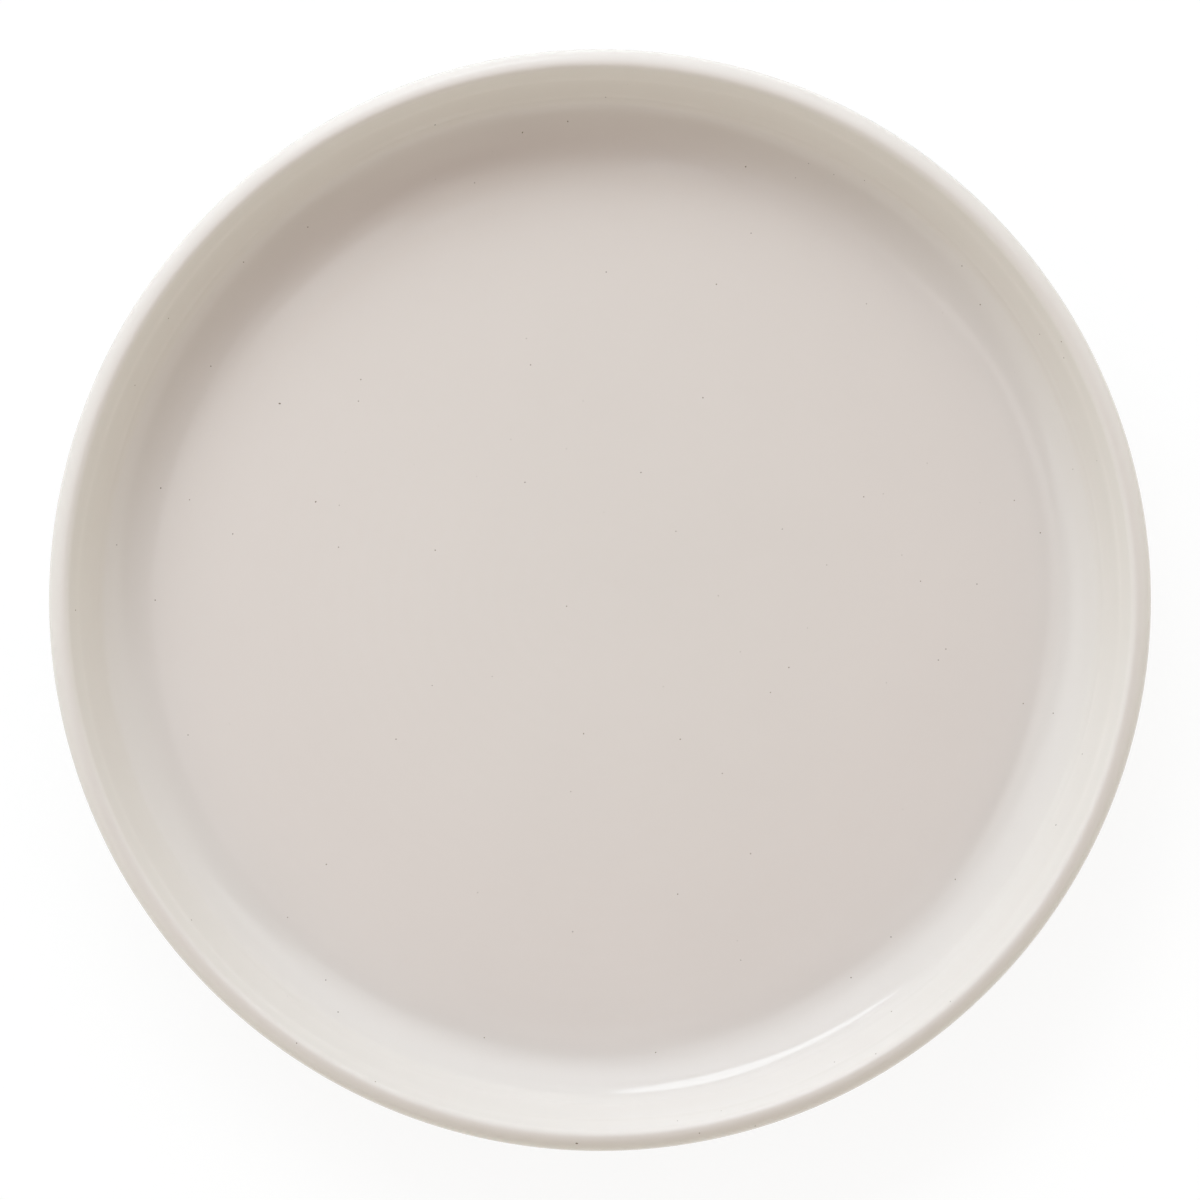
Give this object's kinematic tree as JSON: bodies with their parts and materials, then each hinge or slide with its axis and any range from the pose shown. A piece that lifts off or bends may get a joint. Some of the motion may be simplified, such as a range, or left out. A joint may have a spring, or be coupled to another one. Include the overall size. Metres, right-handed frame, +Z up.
{
  "type": "dessert plate",
  "caption": "Round glazed stoneware dessert plate with a flat well, a steep flared wall, a rounded lip and a bare foot ring to stand on.",
  "frame": {"origin": "centre of the circle that the foot ring stands on, in the resting plane", "axes": "+Z up along the axis of rotation, out of the well; X and Y are free because the plate is round"},
  "size_m": [0.2, 0.2, 0.02],
  "materials": {
    "glaze": "glossy off-white glaze, slightly mottled, with a few fine dark specks",
    "bare_clay": "matt fired stoneware, seen only on the foot ring"
  },
  "bodies": {
    "root": {"clay_body": "bare_clay", "glaze_coat": "glaze", "base_glaze": "glaze"}
  },
  "joints": []
}
